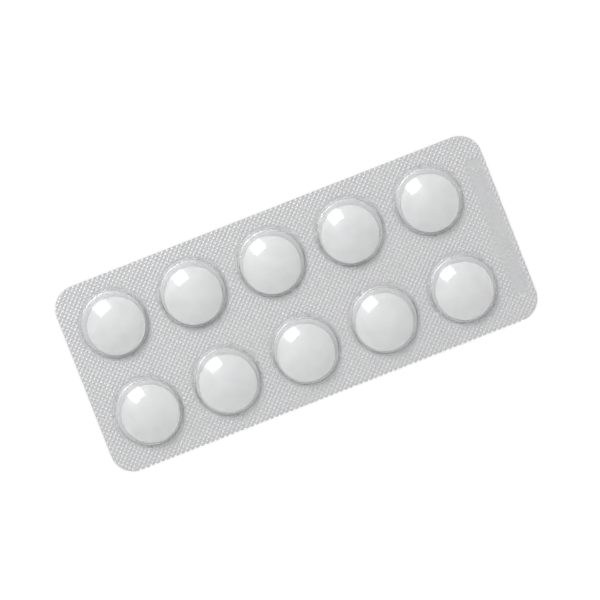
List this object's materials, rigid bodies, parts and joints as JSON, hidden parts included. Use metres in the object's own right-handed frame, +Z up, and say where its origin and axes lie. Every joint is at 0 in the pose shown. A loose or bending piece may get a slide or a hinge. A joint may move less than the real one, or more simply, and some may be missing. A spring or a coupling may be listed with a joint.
{
  "type": "pill blister pack",
  "caption": "Blister card of round white tablets: clear film with round pockets in two rows, sealed on aluminium foil.",
  "frame": {"origin": "centre of the lidding foil's underside, on the surface that the card lies on", "axes": "+Z up out of the pockets, +X along the card towards the coding end, +Y across the card"},
  "size_m": [0.094, 0.0406, 0.0052],
  "materials": {
    "clear_film": "clear, colourless, glossy thermoformed film with a fine embossed sealing pattern on the flange",
    "foil": "bright bare aluminium foil, embossed with a fine diamond lattice where it is sealed",
    "tablet": "pressed white powder, smooth and nearly matte"
  },
  "bodies": {
    "root": {"blister_film": "clear_film", "lidding_foil": "foil", "tablet_1": "tablet", "tablet_2": "tablet", "tablet_3": "tablet", "tablet_4": "tablet", "tablet_5": "tablet", "tablet_6": "tablet", "tablet_7": "tablet", "tablet_8": "tablet", "tablet_9": "tablet", "tablet_10": "tablet"}
  },
  "joints": []
}
